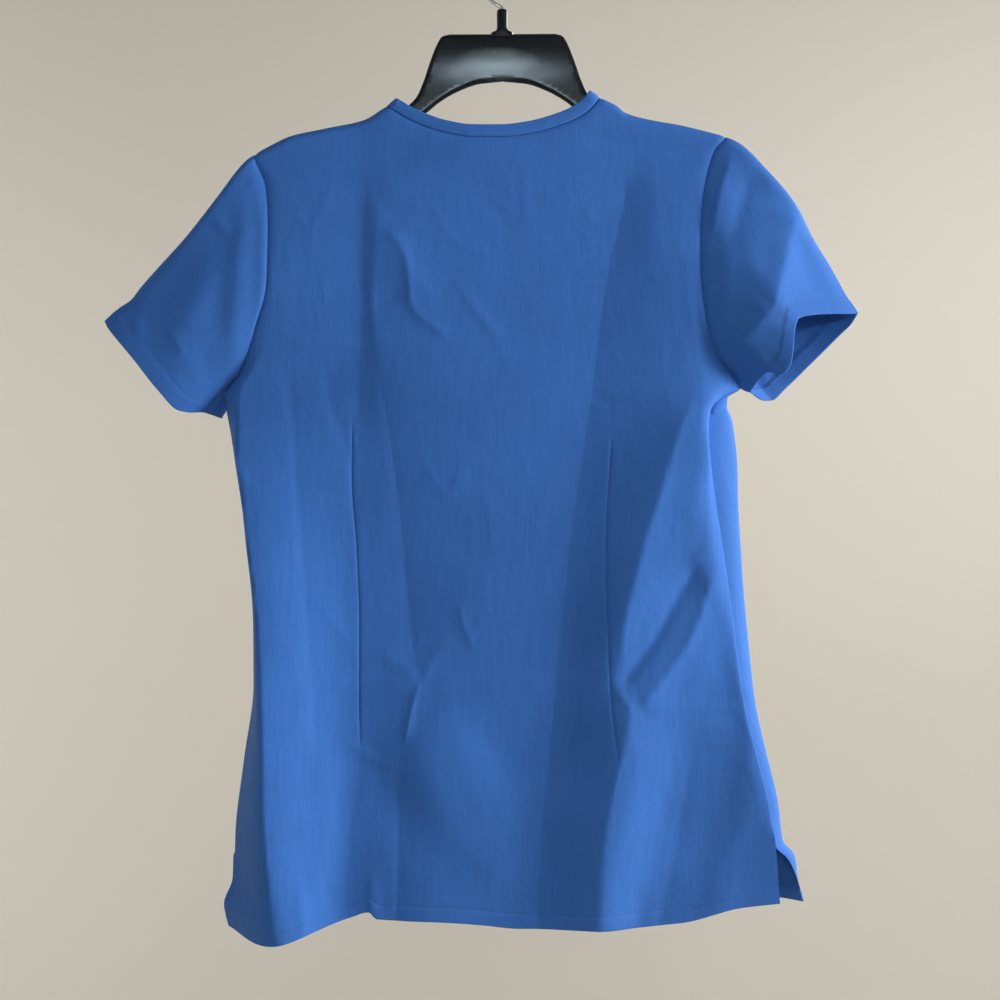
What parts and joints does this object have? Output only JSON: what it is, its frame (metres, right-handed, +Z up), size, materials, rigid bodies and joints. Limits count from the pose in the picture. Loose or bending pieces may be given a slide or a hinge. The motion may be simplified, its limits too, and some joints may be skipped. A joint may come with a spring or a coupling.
{
  "type": "short-sleeved medical scrub top on a moulded coat hanger",
  "caption": "Short-sleeved woven scrub top with a V neck, waist darts and side vents, hung flat from a moulded hanger with a wire hook.",
  "frame": {"origin": "inner apex of the hanger's hook, where it rests on its rod", "axes": "+Z up, the back of the top faces -Y and its front +Y, and the wearer's right side is at +X"},
  "size_m": [0.602, 0.0807, 0.7977],
  "materials": {
    "scrub_cloth": "fine plain weave, matt with a faint sheen",
    "hanger_plastic": "moulded, satin gloss, lightly scuffed",
    "hook_steel": "plated wire"
  },
  "bodies": {
    "root": {"back_panel": "scrub_cloth", "front_panel": "scrub_cloth", "left_sleeve": "scrub_cloth", "right_sleeve": "scrub_cloth", "neckband": "scrub_cloth", "hanger": "hanger_plastic", "hook": "hook_steel"}
  },
  "joints": []
}
